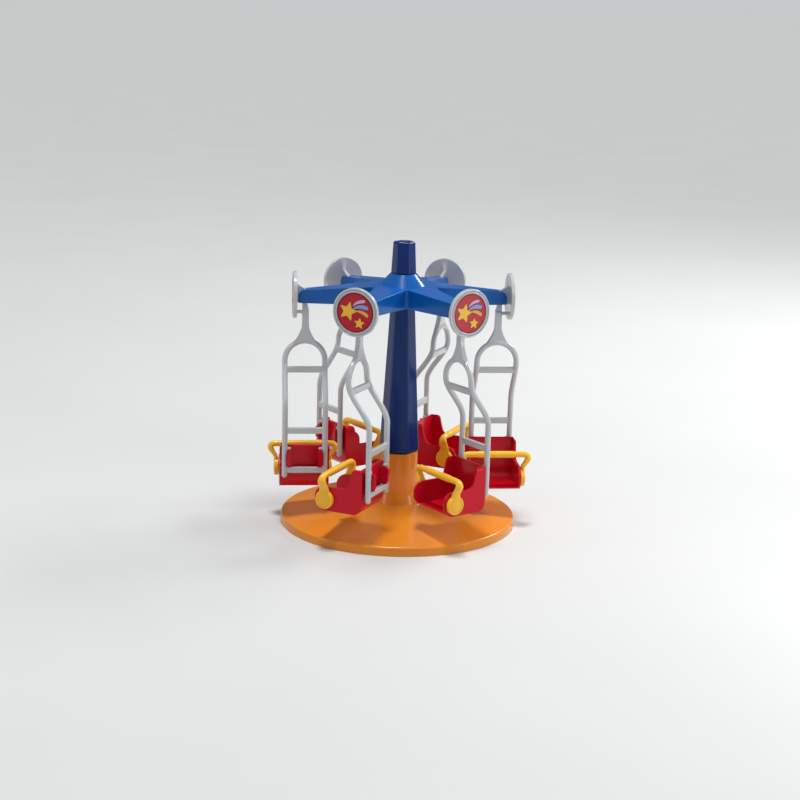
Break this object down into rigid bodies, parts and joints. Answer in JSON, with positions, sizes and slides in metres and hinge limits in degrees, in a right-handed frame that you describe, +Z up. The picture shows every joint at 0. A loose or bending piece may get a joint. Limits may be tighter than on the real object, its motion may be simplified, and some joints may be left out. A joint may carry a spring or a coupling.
{
  "type": "merry go round",
  "caption": "Toy swing carousel: a star with arms turns on a tapered column on a round base, with a hanging seat and folding safety bar at each arm's tip.",
  "frame": {"origin": "centre of the base's underside, on the column's axis", "axes": "+Z up the column; +X along the first arm, and the other arms every 60 degrees"},
  "size_m": [0.2006, 0.1912, 0.217],
  "materials": {
    "orange_plastic": "moulded ABS, satin gloss",
    "blue_plastic": "moulded ABS, gloss",
    "silver_grey_plastic": "moulded plastic, silver grey, satin gloss",
    "red_plastic": "moulded ABS, gloss",
    "yellow_plastic": "moulded plastic, gloss",
    "badge_print": "printed plastic disc",
    "zinc_steel": "zinc-plated"
  },
  "bodies": {
    "base": {"base_plate": "orange_plastic", "column": "blue_plastic", "column_screw": "zinc_steel", "finial": "blue_plastic", "finial_screw": "zinc_steel"},
    "rotor": {"star_spider": "blue_plastic"},
    "swing_1": {"hanger_1": "silver_grey_plastic", "badge_1": "badge_print", "seat_1": "red_plastic"},
    "bar_1": {"safety_bar_1": "yellow_plastic"},
    "swing_2": {"hanger_2": "silver_grey_plastic", "badge_2": "badge_print", "seat_2": "red_plastic"},
    "bar_2": {"safety_bar_2": "yellow_plastic"},
    "swing_3": {"hanger_3": "silver_grey_plastic", "badge_3": "badge_print", "seat_3": "red_plastic"},
    "bar_3": {"safety_bar_3": "yellow_plastic"},
    "swing_4": {"hanger_4": "silver_grey_plastic", "badge_4": "badge_print", "seat_4": "red_plastic"},
    "bar_4": {"safety_bar_4": "yellow_plastic"},
    "swing_5": {"hanger_5": "silver_grey_plastic", "badge_5": "badge_print", "seat_5": "red_plastic"},
    "bar_5": {"safety_bar_5": "yellow_plastic"},
    "swing_6": {"hanger_6": "silver_grey_plastic", "badge_6": "badge_print", "seat_6": "red_plastic"},
    "bar_6": {"safety_bar_6": "yellow_plastic"}
  },
  "joints": [
    {"name": "rotor_turn", "type": "hinge", "parent": "base", "child": "rotor", "pos_m": [0, 0, 0.181], "axis": [0, 0, 1], "continuous": true},
    {"name": "swing_1_tilt", "type": "hinge", "parent": "rotor", "child": "swing_1", "pos_m": [0.0735, 0, 0.1744], "axis": [0, -1, 0], "range_deg": [-5, 70]},
    {"name": "swing_2_tilt", "type": "hinge", "parent": "rotor", "child": "swing_2", "pos_m": [0.03675, 0.06365, 0.1744], "axis": [0.866, -0.5, 0], "range_deg": [-5, 70]},
    {"name": "swing_3_tilt", "type": "hinge", "parent": "rotor", "child": "swing_3", "pos_m": [-0.03675, 0.06365, 0.1744], "axis": [0.866, 0.5, 0], "range_deg": [-5, 70]},
    {"name": "swing_4_tilt", "type": "hinge", "parent": "rotor", "child": "swing_4", "pos_m": [-0.0735, 0, 0.1744], "axis": [0, 1, 0], "range_deg": [-5, 70]},
    {"name": "swing_5_tilt", "type": "hinge", "parent": "rotor", "child": "swing_5", "pos_m": [-0.03675, -0.06365, 0.1744], "axis": [-0.866, 0.5, 0], "range_deg": [-5, 70]},
    {"name": "swing_6_tilt", "type": "hinge", "parent": "rotor", "child": "swing_6", "pos_m": [0.03675, -0.06365, 0.1744], "axis": [-0.866, -0.5, 0], "range_deg": [-5, 70]},
    {"name": "bar_1_fold", "type": "hinge", "parent": "swing_1", "child": "bar_1", "pos_m": [0.073, -0.0163, 0.0385], "axis": [1, 0, 0], "range_deg": [-25, 90]},
    {"name": "bar_2_fold", "type": "hinge", "parent": "swing_2", "child": "bar_2", "pos_m": [0.05062, 0.05507, 0.0385], "axis": [0.5, 0.866, 0], "range_deg": [-25, 90]},
    {"name": "bar_3_fold", "type": "hinge", "parent": "swing_3", "child": "bar_3", "pos_m": [-0.02238, 0.07137, 0.0385], "axis": [-0.5, 0.866, 0], "range_deg": [-25, 90]},
    {"name": "bar_4_fold", "type": "hinge", "parent": "swing_4", "child": "bar_4", "pos_m": [-0.073, 0.0163, 0.0385], "axis": [-1, 0, 0], "range_deg": [-25, 90]},
    {"name": "bar_5_fold", "type": "hinge", "parent": "swing_5", "child": "bar_5", "pos_m": [-0.05062, -0.05507, 0.0385], "axis": [-0.5, -0.866, 0], "range_deg": [-25, 90]},
    {"name": "bar_6_fold", "type": "hinge", "parent": "swing_6", "child": "bar_6", "pos_m": [0.02238, -0.07137, 0.0385], "axis": [0.5, -0.866, 0], "range_deg": [-25, 90]}
  ]
}
